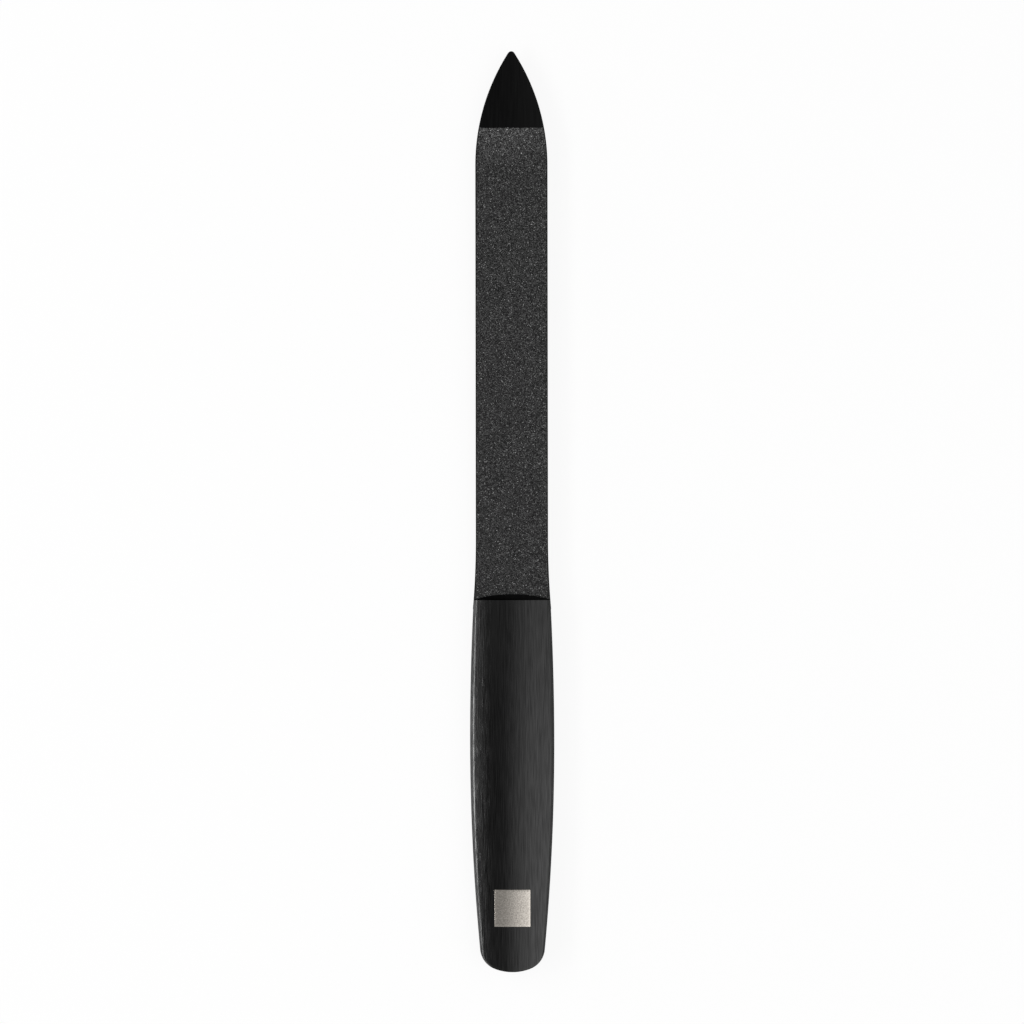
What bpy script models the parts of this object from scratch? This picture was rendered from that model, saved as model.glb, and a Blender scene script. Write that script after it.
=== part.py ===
"""A sapphire nail file of 160 mm, modelled as the pieces that it is put together from.

A flat steel blade carries a coat of sapphire grit on both faces and ends in a bare cleaner point.
Its tang is clamped between two domed steel handle halves and held by two dowel pins, which the
halves hide. The halves leave a slit at their front end, and the blade's shoulders show in it.

Everything is in metres, with +Z up. The file lies on the flat land of its back half: +Y runs to
the point, +X to the right. A station is a distance along Y from the butt of the handle, and
heights inside a piece are measured from the blade's middle plane.
"""

import math

import bmesh
import bpy
from mathutils import Vector

# Whole file
FILE_LENGTH = 0.160
HANDLE_LENGTH = 0.0646

# Blade blank
BLADE_WIDTH = 0.01256
BLADE_THICKNESS = 0.0012
BLADE_CHAMFER = 0.00014
FLARE_LENGTH = 0.0106
OGIVE_RADIUS = 0.03625
POINT_RADIUS = 0.00065
POINT_THICKNESS = 0.0006
BARE_POINT_LENGTH = 0.0133

# Tang, inside the handle
MOUTH_DEPTH = 0.0016
TANG_WIDTH = 0.0076
TANG_LENGTH = 0.046
TANG_CORNER_RADIUS = 0.0016

# Sapphire grit coats
COAT_THICKNESS = 0.00014
COAT_INSET = 0.00017
COAT_GAP_MIDDLE = 0.00098
COAT_GAP_SIDE = 0.00012

# Handle plan
HANDLE_WIDTH = 0.01464
HANDLE_FRONT_WIDTH = 0.01336
HANDLE_BUTT_WIDTH = 0.01046
BELLY_STATION = 0.0401
BUTT_RADIUS = 0.0087
BUTT_CORNER_RADIUS = 0.0039

# Handle section
HANDLE_THICKNESS = 0.0046
CROWN_RADIUS = 0.0215
BELLY_FACET_WIDTH = 0.00073
END_FACET_WIDTH = 0.00044
FACET_SLOPE = math.radians(40)
BACK_LAND_WIDTH = 0.0042
EDGE_BREAK = 0.00009

# Dowel pins
PIN_DIAMETER = 0.0024
PIN_CHAMFER = 0.0002
PIN_COVER = 0.0008
FRONT_PIN_SETBACK = 0.013
REAR_PIN_MARGIN = 0.009

# Fits
PARTING_GAP = 0.00004
SEAT_CLEARANCE = 0.00004
GLUE_LINE = 0.00002

# Smoothness of the curves
OGIVE_STEPS = 24
POINT_STEPS = 6
FLARE_STEPS = 8
CORNER_STEPS = 8
COAT_END_STEPS = 16
BUTT_STEPS = 8
FLANK_STEPS = 20
CROWN_STEPS = 24
PIN_SIDES = 32

# A cutter runs this far past what it cuts.
CUT_OVERRUN = 0.001


def crown_fall(offset):
    """How far the domed face lies below its crown at this distance from the middle line."""
    return CROWN_RADIUS - math.sqrt(CROWN_RADIUS**2 - offset**2)


CROWN_HEIGHT = HANDLE_THICKNESS / 2
LAND_HEIGHT = CROWN_HEIGHT - crown_fall(BACK_LAND_WIDTH / 2)
BLADE_HALF = BLADE_THICKNESS / 2
TANG_END = HANDLE_LENGTH - TANG_LENGTH
SHOULDER_STATION = HANDLE_LENGTH - MOUTH_DEPTH
BARE_POINT_STATION = FILE_LENGTH - BARE_POINT_LENGTH


def arc(centre, radius, start, end, steps):
    """Points on a circular arc from angle start to angle end, both included."""
    turn = (end - start) / steps
    angles = [start + turn * i for i in range(steps + 1)]
    return [Vector((centre.x + radius * math.cos(a), centre.y + radius * math.sin(a))) for a in angles]


def angle_from(centre, point):
    """The direction of a point seen from a centre."""
    return math.atan2(point.y - centre.y, point.x - centre.x)


def bow_radius(run, fall):
    """The radius of an arc that leaves a line parallel to Y and falls off it by fall over run."""
    return (run**2 + fall**2) / (2 * fall)


def mirrored(right_side):
    """A closed outline, from its right side listed from the rear to the front."""
    left_side = [Vector((-p.x, p.y)) for p in reversed(right_side) if p.x > 0]
    return right_side + left_side


def ogive_tangent_station():
    """Where the blade's parallel flanks turn into the arcs that run up to the point."""
    point_centre = FILE_LENGTH - POINT_RADIUS
    reach = (OGIVE_RADIUS - POINT_RADIUS) ** 2 - (OGIVE_RADIUS - BLADE_WIDTH / 2) ** 2
    return point_centre - math.sqrt(reach)


def flare_half_width(station):
    """The blade's half-width where it widens to be flush with the front of the handle."""
    start = HANDLE_LENGTH + FLARE_LENGTH
    radius = bow_radius(FLARE_LENGTH, (HANDLE_FRONT_WIDTH - BLADE_WIDTH) / 2)
    return BLADE_WIDTH / 2 + radius - math.sqrt(radius**2 - (start - station) ** 2)


def flare_points(rear, front):
    """Points up the right side of the flare between two stations, both included."""
    step = (front - rear) / FLARE_STEPS
    stations = [rear + step * i for i in range(FLARE_STEPS + 1)]
    return [Vector((flare_half_width(s), s)) for s in stations]


def ogive_points(last_station=None):
    """Points up the right side from the start of the ogive to the point, or to last_station."""
    tangent = ogive_tangent_station()
    centre = Vector((BLADE_WIDTH / 2 - OGIVE_RADIUS, tangent))
    point_centre = Vector((0, FILE_LENGTH - POINT_RADIUS))
    if last_station is not None:
        end = math.asin((last_station - tangent) / OGIVE_RADIUS)
        return arc(centre, OGIVE_RADIUS, 0, end, OGIVE_STEPS // 2)
    end = angle_from(centre, point_centre)
    side = arc(centre, OGIVE_RADIUS, 0, end, OGIVE_STEPS)
    tip = arc(point_centre, POINT_RADIUS, end, math.pi / 2, POINT_STEPS)[1:]
    tip[-1].x = 0
    return side + tip


def tang_points(clearance):
    """Points up the right side of the tang, from its end to the shoulder, grown by a clearance."""
    half = TANG_WIDTH / 2 + clearance
    radius = TANG_CORNER_RADIUS + clearance
    corner = Vector((half - radius, TANG_END - clearance + radius))
    rounding = arc(corner, radius, -math.pi / 2, 0, CORNER_STEPS)
    return rounding + [Vector((half, SHOULDER_STATION - clearance))]


def prism(outline, bottom, top):
    """A mesh with this plan outline, extruded from one height to another."""
    shape = bmesh.new()
    floor = shape.faces.new([shape.verts.new((p.x, p.y, bottom)) for p in outline])
    grown = bmesh.ops.extrude_face_region(shape, geom=[floor])
    lifted = [v for v in grown["geom"] if isinstance(v, bmesh.types.BMVert)]
    bmesh.ops.translate(shape, verts=lifted, vec=(0, 0, top - bottom))
    bmesh.ops.recalc_face_normals(shape, faces=shape.faces)
    return shape


def loft(rings):
    """A mesh skinned over closed rings of points, with a flat cap at each end."""
    shape = bmesh.new()
    loops = [[shape.verts.new(p) for p in ring] for ring in rings]
    for near, far in zip(loops, loops[1:]):
        for i in range(len(near)):
            j = (i + 1) % len(near)
            shape.faces.new((near[i], near[j], far[j], far[i]))
    shape.faces.new(loops[0])
    shape.faces.new(loops[-1])
    bmesh.ops.recalc_face_normals(shape, faces=shape.faces)
    return shape


def piece(name, shape, material, smooth_angle=None):
    """Turns a bmesh into a named object of the file, in the file's own axes."""
    mesh = bpy.data.meshes.new(name)
    shape.to_mesh(mesh)
    shape.free()
    mesh.materials.append(material)
    if smooth_angle is not None:
        mesh.shade_smooth()
        mesh.set_sharp_from_angle(angle=smooth_angle)
    made = bpy.data.objects.new(name, mesh)
    bpy.context.scene.collection.objects.link(made)
    made.parent = file_axes
    return made


def cutter(name, shape):
    """A guide solid that only cuts others."""
    made = piece(name, shape, materials["bare_steel"])
    made.hide_render = True
    made.display_type = "WIRE"
    return made


def cut(target, tool):
    """Takes one solid out of another."""
    boolean = target.modifiers.new(f"cut_by_{tool.name}", "BOOLEAN")
    boolean.operation = "DIFFERENCE"
    boolean.solver = "EXACT"
    boolean.object = tool


def make_material(name, colour, roughness, metallic):
    """A plain Principled material in linear colour."""
    material = bpy.data.materials.new(name)
    material.use_nodes = True
    shader = material.node_tree.nodes["Principled BSDF"]
    shader.inputs["Base Color"].default_value = (*colour, 1)
    shader.inputs["Roughness"].default_value = roughness
    shader.inputs["Metallic"].default_value = metallic
    material.diffuse_color = (*colour, 1)
    return material


def pin_stations():
    """The stations of the two dowel pins, each set back from its own end of the tang."""
    return {
        "front_dowel_pin": HANDLE_LENGTH - FRONT_PIN_SETBACK,
        "rear_dowel_pin": TANG_END + REAR_PIN_MARGIN,
    }


def make_pin_bore(name, station, radius, half_depth):
    """A cutter across the blade's middle plane, for a pin's hole in the tang or the halves."""
    bore = bmesh.new()
    bmesh.ops.create_cone(
        bore, cap_ends=True, segments=PIN_SIDES, radius1=radius, radius2=radius, depth=2 * half_depth
    )
    made = cutter(name, bore)
    made.location.y = station
    return made


def make_blade():
    """The blank: tang, shoulders, flared root, parallel blade and a point that thins out."""
    flare = flare_points(SHOULDER_STATION, HANDLE_LENGTH + FLARE_LENGTH)
    outline = mirrored(tang_points(0) + flare + ogive_points())
    blank = prism(outline, -BLADE_HALF, BLADE_HALF)
    rims = [e for e in blank.edges if abs(e.verts[0].co.z - e.verts[1].co.z) < BLADE_CHAMFER]
    bmesh.ops.bevel(blank, geom=rims, offset=BLADE_CHAMFER, segments=1, affect="EDGES", profile=0.5)
    everything = blank.verts[:] + blank.edges[:] + blank.faces[:]
    across = Vector((0, BARE_POINT_STATION, 0))
    bmesh.ops.bisect_plane(blank, geom=everything, plane_co=across, plane_no=(0, 1, 0))
    thinning = 1 - POINT_THICKNESS / BLADE_THICKNESS
    for v in blank.verts:
        beyond = max(0, v.co.y - BARE_POINT_STATION) / BARE_POINT_LENGTH
        v.co.z *= 1 - thinning * beyond
    blade = piece("file_blade", blank, materials["bare_steel"])
    for name, station in pin_stations().items():
        radius = PIN_DIAMETER / 2 + SEAT_CLEARANCE
        cut(blade, make_pin_bore(f"{name}_hole", station, radius, BLADE_THICKNESS))
    return blade


def coat_outline():
    """The coated field: straight across at the point, an arc at the handle."""
    corner_station = HANDLE_LENGTH + COAT_GAP_SIDE
    corner = Vector((flare_half_width(corner_station) - COAT_INSET, corner_station))
    bow = COAT_GAP_MIDDLE - COAT_GAP_SIDE
    end_radius = bow_radius(corner.x, bow)
    end_centre = Vector((0, corner_station + bow - end_radius))
    corner_angle = angle_from(end_centre, corner)
    rear_end = arc(end_centre, end_radius, math.pi / 2, corner_angle, COAT_END_STEPS // 2)
    rear_end[0].x = 0
    flank = flare_points(corner_station, HANDLE_LENGTH + FLARE_LENGTH)
    flank += ogive_points(BARE_POINT_STATION)
    inset = [Vector((p.x - COAT_INSET, p.y)) for p in flank]
    return mirrored(rear_end + inset[1:])


def make_coat(name, side):
    """A thin layer of sapphire grit, on the front face for side 1 and on the back for side -1."""
    inner = side * (BLADE_HALF + GLUE_LINE)
    outer = side * (BLADE_HALF + GLUE_LINE + COAT_THICKNESS)
    layer = prism(coat_outline(), min(inner, outer), max(inner, outer))
    return piece(name, layer, materials["sapphire_grit"])


def bowed_half_width(station, belly, front, butt):
    """The half-width of a line that is widest at the belly and bows in to both ends."""
    end, end_half = (HANDLE_LENGTH, front) if station > BELLY_STATION else (0, butt)
    radius = bow_radius(end - BELLY_STATION, belly - end_half)
    return belly - radius + math.sqrt(radius**2 - (station - BELLY_STATION) ** 2)


def flank_half_width(station):
    """The handle's half-width beside its long flanks, before the butt's corners are rounded."""
    return bowed_half_width(station, HANDLE_WIDTH / 2, HANDLE_FRONT_WIDTH / 2, HANDLE_BUTT_WIDTH / 2)


def crease_half_width(station):
    """Where the domed face would end in the facet that runs along each flank."""
    return bowed_half_width(
        station,
        HANDLE_WIDTH / 2 - BELLY_FACET_WIDTH,
        HANDLE_FRONT_WIDTH / 2 - END_FACET_WIDTH,
        HANDLE_BUTT_WIDTH / 2 - END_FACET_WIDTH,
    )


def butt_corner():
    """The centre of the arc that rounds the corner between the butt arc and the flank arc."""
    flank_radius = bow_radius(BELLY_STATION, (HANDLE_WIDTH - HANDLE_BUTT_WIDTH) / 2)
    flank_centre = Vector((HANDLE_WIDTH / 2 - flank_radius, BELLY_STATION))
    butt_centre = Vector((0, BUTT_RADIUS))
    from_butt = BUTT_RADIUS - BUTT_CORNER_RADIUS
    from_flank = flank_radius - BUTT_CORNER_RADIUS
    between = flank_centre - butt_centre
    along = (from_butt**2 - from_flank**2 + between.length_squared) / (2 * between.length)
    aside = math.sqrt(from_butt**2 - along**2)
    direction = between.normalized()
    square = Vector((-direction.y, direction.x))
    choices = [butt_centre + direction * along + square * way * aside for way in (1, -1)]
    corner_centre = min(choices, key=lambda c: c.y)
    return corner_centre, butt_centre, flank_centre


def handle_side():
    """Points up the handle's right side, from just beside the middle of the butt to the front."""
    corner_centre, butt_centre, flank_centre = butt_corner()
    to_corner = angle_from(butt_centre, corner_centre)
    to_flank = angle_from(flank_centre, corner_centre)
    butt = arc(butt_centre, BUTT_RADIUS, -math.pi / 2, to_corner, BUTT_STEPS)[1:]
    corner = arc(corner_centre, BUTT_CORNER_RADIUS, to_corner, to_flank, CORNER_STEPS)[1:]
    flank_start = corner[-1].y
    flank_end = HANDLE_LENGTH - EDGE_BREAK
    step = (flank_end - flank_start) / FLANK_STEPS
    stations = [flank_start + step * i for i in range(1, FLANK_STEPS + 1)]
    return butt + corner + [Vector((flank_half_width(s), s)) for s in stations]


def half_ring(half_width, station, side, drawn_in=0):
    """The section of a handle half: flank, facet, domed face, facet, flank and parting face."""
    crease = min(half_width - EDGE_BREAK, crease_half_width(station)) - drawn_in
    rim = half_width - drawn_in
    crease_height = CROWN_HEIGHT - crown_fall(crease) - drawn_in
    rim_height = crease_height - (rim - crease) * math.tan(FACET_SLOPE)
    parting = PARTING_GAP / 2
    face = []
    for i in range(CROWN_STEPS + 1):
        x = crease * (1 - 2 * i / CROWN_STEPS)
        face.append((x, CROWN_HEIGHT - crown_fall(x) - drawn_in))
    section = [(rim, parting), (rim, rim_height)] + face + [(-rim, rim_height), (-rim, parting)]
    return [Vector((x, station, side * z)) for x, z in section]


def grind_back_land(shape):
    """Grinds the flat that the file lies on across the crown of the back half."""
    everything = shape.verts[:] + shape.edges[:] + shape.faces[:]
    cut_edges = bmesh.ops.bisect_plane(
        shape, geom=everything, plane_co=(0, 0, -LAND_HEIGHT), plane_no=(0, 0, -1), clear_outer=True
    )["geom_cut"]
    bmesh.ops.contextual_create(shape, geom=[e for e in cut_edges if isinstance(e, bmesh.types.BMEdge)])
    bmesh.ops.recalc_face_normals(shape, faces=shape.faces)


def make_tang_pocket():
    """The cutter for the slit at the handle's mouth and the pocket behind it."""
    wide = HANDLE_WIDTH / 2 + CUT_OVERRUN
    mouth_floor = SHOULDER_STATION - SEAT_CLEARANCE
    mouth = [Vector((wide, mouth_floor)), Vector((wide, HANDLE_LENGTH + CUT_OVERRUN))]
    half_height = BLADE_HALF + SEAT_CLEARANCE
    outline = mirrored(tang_points(SEAT_CLEARANCE) + mouth)
    return cutter("tang_pocket", prism(outline, -half_height, half_height))


def make_handle_half(name, side, tang_pocket, pin_bores):
    """A domed half of the handle, in front of the tang for side 1 and behind it for side -1."""
    rings = [half_ring(p.x, p.y, side) for p in handle_side()]
    front_half_width = flank_half_width(HANDLE_LENGTH)
    rings.append(half_ring(front_half_width, HANDLE_LENGTH, side, drawn_in=EDGE_BREAK))
    shape = loft(rings)
    if side < 0:
        grind_back_land(shape)
    half = piece(name, shape, materials["black_steel"], smooth_angle=math.radians(12))
    for tool in [tang_pocket] + pin_bores:
        cut(half, tool)
    return half


def make_pin(name, station, half_length):
    """A dowel pin with chamfered ends."""
    pin = bmesh.new()
    radius = PIN_DIAMETER / 2
    bmesh.ops.create_cone(
        pin, cap_ends=True, segments=PIN_SIDES, radius1=radius, radius2=radius, depth=2 * half_length
    )
    rims = [e for e in pin.edges if abs(e.verts[0].co.z - e.verts[1].co.z) < half_length]
    bmesh.ops.bevel(pin, geom=rims, offset=PIN_CHAMFER, segments=1, affect="EDGES", profile=0.5)
    made = piece(name, pin, materials["pin_steel"], smooth_angle=math.radians(30))
    made.location.y = station
    return made


for old in list(bpy.data.objects):
    bpy.data.objects.remove(old, do_unlink=True)

file_axes = bpy.data.objects.new("file_axes", None)
file_axes.location = (0, -FILE_LENGTH / 2, LAND_HEIGHT)
bpy.context.scene.collection.objects.link(file_axes)

materials = {
    "bare_steel": make_material("bare_steel", (0.010, 0.010, 0.011), 0.42, 1.0),
    "sapphire_grit": make_material("sapphire_grit", (0.038, 0.038, 0.039), 0.85, 0.0),
    "black_steel": make_material("black_steel", (0.040, 0.040, 0.041), 0.36, 1.0),
    "pin_steel": make_material("pin_steel", (0.46, 0.46, 0.47), 0.30, 1.0),
}

pin_half_length = CROWN_HEIGHT - crown_fall(PIN_DIAMETER / 2) - PIN_COVER - SEAT_CLEARANCE
make_blade()
make_coat("front_grit_coat", 1)
make_coat("back_grit_coat", -1)

pocket = make_tang_pocket()
bores = []
for pin_name, pin_station in pin_stations().items():
    make_pin(pin_name, pin_station, pin_half_length)
    bore_radius = PIN_DIAMETER / 2 + SEAT_CLEARANCE
    bore_half_depth = pin_half_length + SEAT_CLEARANCE
    bores.append(make_pin_bore(f"{pin_name}_bore", pin_station, bore_radius, bore_half_depth))

make_handle_half("front_handle_half", 1, pocket, bores)
make_handle_half("back_handle_half", -1, pocket, bores)
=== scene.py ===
# %% [markdown]
# # A sapphire nail file
#
# The CAD part holds this nail file as solids in their real places: a flat steel blade, a coat of
# sapphire grit on each face, a handle of two domed halves, and two pins inside it. This script
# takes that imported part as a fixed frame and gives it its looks: finer shapes where the eye stops,
# real finishes, a studio and a camera.
#
# The file lies on its back on the floor. +Y runs to the point, +X to the right, +Z up. The frame
# is loaded first, because every piece is placed by it.

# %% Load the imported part
import math

import bmesh
import bpy
import numpy as np
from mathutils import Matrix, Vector


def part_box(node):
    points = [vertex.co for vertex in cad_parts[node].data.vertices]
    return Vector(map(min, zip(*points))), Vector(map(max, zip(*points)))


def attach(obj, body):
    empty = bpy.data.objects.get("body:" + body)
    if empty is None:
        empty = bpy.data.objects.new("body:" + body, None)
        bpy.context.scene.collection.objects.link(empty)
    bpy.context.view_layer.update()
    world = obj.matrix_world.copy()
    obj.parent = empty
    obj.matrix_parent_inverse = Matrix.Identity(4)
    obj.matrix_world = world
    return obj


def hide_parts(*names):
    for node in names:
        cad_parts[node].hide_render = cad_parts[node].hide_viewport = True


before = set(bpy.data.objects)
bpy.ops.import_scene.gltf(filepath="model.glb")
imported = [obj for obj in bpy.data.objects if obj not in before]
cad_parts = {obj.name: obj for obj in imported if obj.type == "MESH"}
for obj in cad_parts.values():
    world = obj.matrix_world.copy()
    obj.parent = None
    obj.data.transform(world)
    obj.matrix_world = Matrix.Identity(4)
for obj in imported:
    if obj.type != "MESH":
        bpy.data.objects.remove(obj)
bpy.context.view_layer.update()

MM = 0.001
FILE_LENGTH = 160 * MM
blade_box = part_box("file_blade")
BUTT_Y = blade_box[1].y - FILE_LENGTH
MIDDLE_Z = (blade_box[0].z + blade_box[1].z) / 2
print("nodes:", sorted(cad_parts))
print(f"butt at y = {BUTT_Y / MM:.2f} mm, blade's middle plane at z = {MIDDLE_Z / MM:.3f} mm")

# %% [markdown]
# ## The camera
#
# The photograph looks straight down, and its perspective is too weak to see, so it was taken from
# far away through a long lens. An orthographic camera would do that too, but a perspective one
# 1.2 m away is what a studio has, and reflections then change a little along the file, as they do
# in the photograph. The lens is worked out from the size of one pixel on the file. Blender takes
# the sensor and the lens as plain numbers of millimetres, and everything else in metres. The camera
# aims a hair off the middle and leans by a twelfth of a degree, as the photograph does.

# %% Camera
IMAGE_PIXELS = 1024
PIXEL = 0.1739 * MM
CAMERA_DISTANCE = 1.2
SENSOR_WIDTH = 36
AIM = (0.02 * MM, -0.11 * MM)
LEAN = math.radians(-0.083)

camera_data = bpy.data.cameras.new("camera")
camera_data.sensor_width = SENSOR_WIDTH
camera_data.lens = SENSOR_WIDTH * CAMERA_DISTANCE / (IMAGE_PIXELS * PIXEL)
camera = bpy.data.objects.new("camera", camera_data)
camera.location = (*AIM, MIDDLE_Z + CAMERA_DISTANCE)
camera.rotation_euler = (0, 0, LEAN)
bpy.context.scene.collection.objects.link(camera)
bpy.context.scene.camera = camera
bpy.context.scene.view_settings.view_transform = "Standard"
print(f"lens {camera_data.lens:.1f} mm, {IMAGE_PIXELS * PIXEL / MM:.1f} mm across the picture")

# %% [markdown]
# ## Colours and nodes
#
# A screen colour such as #3c3c3d is stored with a curve, and a shader wants light without it. One
# function does that change, so every colour below can be written as it looks. A second one fills
# a node's sockets with values and links, and a third adds a node and fills it, which keeps each
# material as short as its idea.

# %% Screen colours as light
def linear(hex_colour):
    """An sRGB hex colour as the linear RGBA that a shader takes."""
    channels = [int(hex_colour[i:i + 2], 16) / 255 for i in (1, 3, 5)]
    light = [c / 12.92 if c <= 0.04045 else ((c + 0.055) / 1.055) ** 2.4 for c in channels]
    return (*light, 1)


print("#3c3c3d as light:", [round(channel, 3) for channel in linear("#3c3c3d")])

# %% Nodes and materials
def set_inputs(tree, node, inputs):
    """Gives each named socket of a node a plain value or the output of another node."""
    for socket, value in inputs.items():
        if isinstance(value, bpy.types.NodeSocket):
            tree.links.new(value, node.inputs[socket])
        else:
            node.inputs[socket].default_value = value


def add_node(tree, kind, settings=None, inputs=None, stops=()):
    """Adds a node. settings go on the node, and inputs on its sockets as a value or an output.
    stops are the places and linear colours along a colour ramp, in order."""
    made = tree.nodes.new(kind)
    for name, value in (settings or {}).items():
        setattr(made, name, value)
    set_inputs(tree, made, inputs or {})
    for i, (position, colour) in enumerate(stops):
        elements = made.color_ramp.elements
        stop = elements[i] if i < len(elements) else elements.new(position)
        stop.position = position
        stop.color = colour
    return made


def new_material(name):
    """A material with nothing in it but its output and a Principled shader."""
    material = bpy.data.materials.new(name)
    material.use_nodes = True
    tree = material.node_tree
    print(f"material: {name}")
    return material, tree, tree.nodes["Principled BSDF"]


# %% [markdown]
# ## The floor
#
# The photograph's background is pure white with no shadow left. Here the file lies on a white
# card that curves up into a wall far away, so that a low view also ends in white.
#
# Nine tenths of what the camera and the mirroring metal see of the card is a glow of its own,
# which brings it to white. The last tenth is the lamps' light on it, which keeps a trace of the
# file's shadow. To all other light it is plain white card, so the glow doesn't light the file. The
# card lies a hair under the file's flat land, so that no two faces share a plane.

# %% White card
CARD_GLOW_SHARE = 0.9

card_material, tree, shader = new_material("white_card")
set_inputs(tree, shader, {
    "Base Color": linear("#fbfbfb"), "Roughness": 0.9, "Specular IOR Level": 0.0,
})
path = add_node(tree, "ShaderNodeLightPath")
seen = path.outputs["Is Camera Ray"]
for ray in ("Is Glossy Ray", "Is Transmission Ray"):
    either = add_node(
        tree, "ShaderNodeMath", {"operation": "ADD", "use_clamp": True},
        {0: seen, 1: path.outputs[ray]},
    )
    seen = either.outputs[0]
share = add_node(
    tree, "ShaderNodeMath", {"operation": "MULTIPLY"}, {0: seen, 1: CARD_GLOW_SHARE}
)
glow = add_node(tree, "ShaderNodeEmission", {}, {"Color": (1, 1, 1, 1), "Strength": 1.0})
mixed = add_node(
    tree, "ShaderNodeMixShader", {},
    {0: share.outputs[0], 1: shader.outputs["BSDF"], 2: glow.outputs["Emission"]},
)
set_inputs(tree, tree.nodes["Material Output"], {"Surface": mixed.outputs["Shader"]})

# %% Floor and wall
CARD_DROP = 0.02 * MM
CARD_CENTRE_RADIUS = 0.6
CARD_FLAT_RADIUS = 2.4
CARD_CURVE_RADIUS = 0.8
CARD_WALL_ANGLE = math.radians(85)
CARD_SEGMENTS = 96
CARD_CURVE_STEPS = 12

profile = [(CARD_CENTRE_RADIUS, 0), (CARD_FLAT_RADIUS, 0)]
for turn in np.linspace(0, CARD_WALL_ANGLE, CARD_CURVE_STEPS + 1)[1:]:
    profile.append((
        CARD_FLAT_RADIUS + CARD_CURVE_RADIUS * math.sin(turn),
        CARD_CURVE_RADIUS * (1 - math.cos(turn)),
    ))
card = bmesh.new()
angles = [2 * math.pi * k / CARD_SEGMENTS for k in range(CARD_SEGMENTS)]
rings = [
    [card.verts.new((radius * math.cos(a), radius * math.sin(a), height)) for a in angles]
    for radius, height in profile
]
card.faces.new(rings[0])
for inner, outer in zip(rings, rings[1:]):
    for k in range(CARD_SEGMENTS):
        after = (k + 1) % CARD_SEGMENTS
        card.faces.new((inner[k], outer[k], outer[after], inner[after]))
bmesh.ops.recalc_face_normals(card, faces=card.faces)
card_mesh = bpy.data.meshes.new("white_card_floor")
card.to_mesh(card_mesh)
card.free()
card_mesh.shade_smooth()
card_mesh.materials.append(card_material)
floor = bpy.data.objects.new("white_card_floor", card_mesh)
floor.location.z = -CARD_DROP
bpy.context.scene.collection.objects.link(floor)
print(f"floor {CARD_FLAT_RADIUS * 2:.1f} m across with a wall {profile[-1][1]:.2f} m high")

# %% [markdown]
# ## The lamps
#
# Black metal has almost no colour of its own: what the eye reads is the studio in it. The dome of
# the handle turns its face from left to right, so each strip of it mirrors another direction. The
# photograph's dome is mid grey at its left edge, then almost black, then grey again towards the
# right. That is a soft box low on the left, a gap overhead, and one large soft box on the right
# whose left half fades in. The large one also dims by half from the butt to the handle's front.
#
# Two strips stand lower on the left. One is mirrored by the crease, as a bright line that is
# brightest where the handle is widest, so the strip is brightest in one place too. The other is
# mirrored by the steep facet below the crease. Last, a dim card reaches over the gap from both
# ends, because the dome's black is a little paler at the handle's front and butt.
#
# Each panel is given by the angles that it spans, measured from straight up and positive to the
# right, and by its radiance: at 1, a white surface that mirrors only the panel would render white.

# %% Uneven light on a panel
PANEL_LENGTH = 1.3


def shade_panel(light, along, fade):
    """Makes a panel's light uneven, by the values that soft_box takes."""
    light.use_nodes = True
    tree = light.node_tree
    where = add_node(tree, "ShaderNodeNewGeometry")
    on_panel = add_node(tree, "ShaderNodeSeparateXYZ", {}, {0: where.outputs["Parametric"]})
    shares = add_node(
        tree, "ShaderNodeValToRGB", {}, {"Fac": on_panel.outputs["Y"]},
        [(0.5 + y / PANEL_LENGTH, (share, share, share, 1)) for y, share in along],
    )
    shares.color_ramp.interpolation = "EASE"
    strength = shares.outputs["Color"]
    if fade:
        faded = add_node(
            tree, "ShaderNodeMapRange", {"interpolation_type": "SMOOTHSTEP"},
            {"Value": on_panel.outputs["X"], "From Min": 0.0, "From Max": fade},
        )
        product = add_node(
            tree, "ShaderNodeMath", {"operation": "MULTIPLY"},
            {0: faded.outputs["Result"], 1: strength},
        )
        strength = product.outputs[0]
    set_inputs(tree, tree.nodes["Emission"], {"Strength": strength})


print(f"every panel is {PANEL_LENGTH:.1f} m long")

# %% A panel of light
def soft_box(name, inner, outer, distance, radiance, along=(), fade=0.0):
    """A lamp panel between two angles from the vertical. along lists places on its length, in
    metres from its middle, each with the share of the radiance that is left there. A panel with
    such a list may also fade in from its left edge, over the share of its width in fade."""
    middle = math.radians((inner + outer) / 2)
    width = 2 * distance * math.tan(math.radians(abs(outer - inner) / 2))
    light = bpy.data.lights.new(name, "AREA")
    light.shape = "RECTANGLE"
    light.size = width
    light.size_y = PANEL_LENGTH
    light.energy = radiance * math.pi * width * PANEL_LENGTH
    if along:
        shade_panel(light, along, fade)
    lamp = bpy.data.objects.new(name, light)
    lamp.location = (distance * math.sin(middle), 0, distance * math.cos(middle))
    lamp.rotation_euler = (0, middle, 0)
    lamp.visible_camera = False
    bpy.context.scene.collection.objects.link(lamp)
    print(f"{name}: {width:.2f} m wide, {light.energy:.2f} W")


# %% Soft boxes, strips and card
soft_box(
    "right_soft_box", -12, 74, distance=0.75, radiance=1.50,
    along=[(-0.13, 1.0), (-0.09, 0.91), (-0.02, 0.50)], fade=0.52,
)
soft_box("left_soft_box", -34, -48, distance=0.80, radiance=1.30)
soft_box(
    "crease_strip", -50, -62, distance=0.85, radiance=17.5,
    along=[(-0.20, 0.28), (-0.14, 0.38), (-0.08, 1.0), (-0.01, 0.42), (0.06, 0.36)],
)
soft_box("low_left_strip", -73, -87, distance=0.95, radiance=2.2)
soft_box(
    "dim_card_over_gap", -36, -8, distance=0.80, radiance=0.18,
    along=[(-0.15, 1.0), (-0.112, 0.0), (-0.062, 0.0), (-0.030, 0.75)],
)

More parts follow.
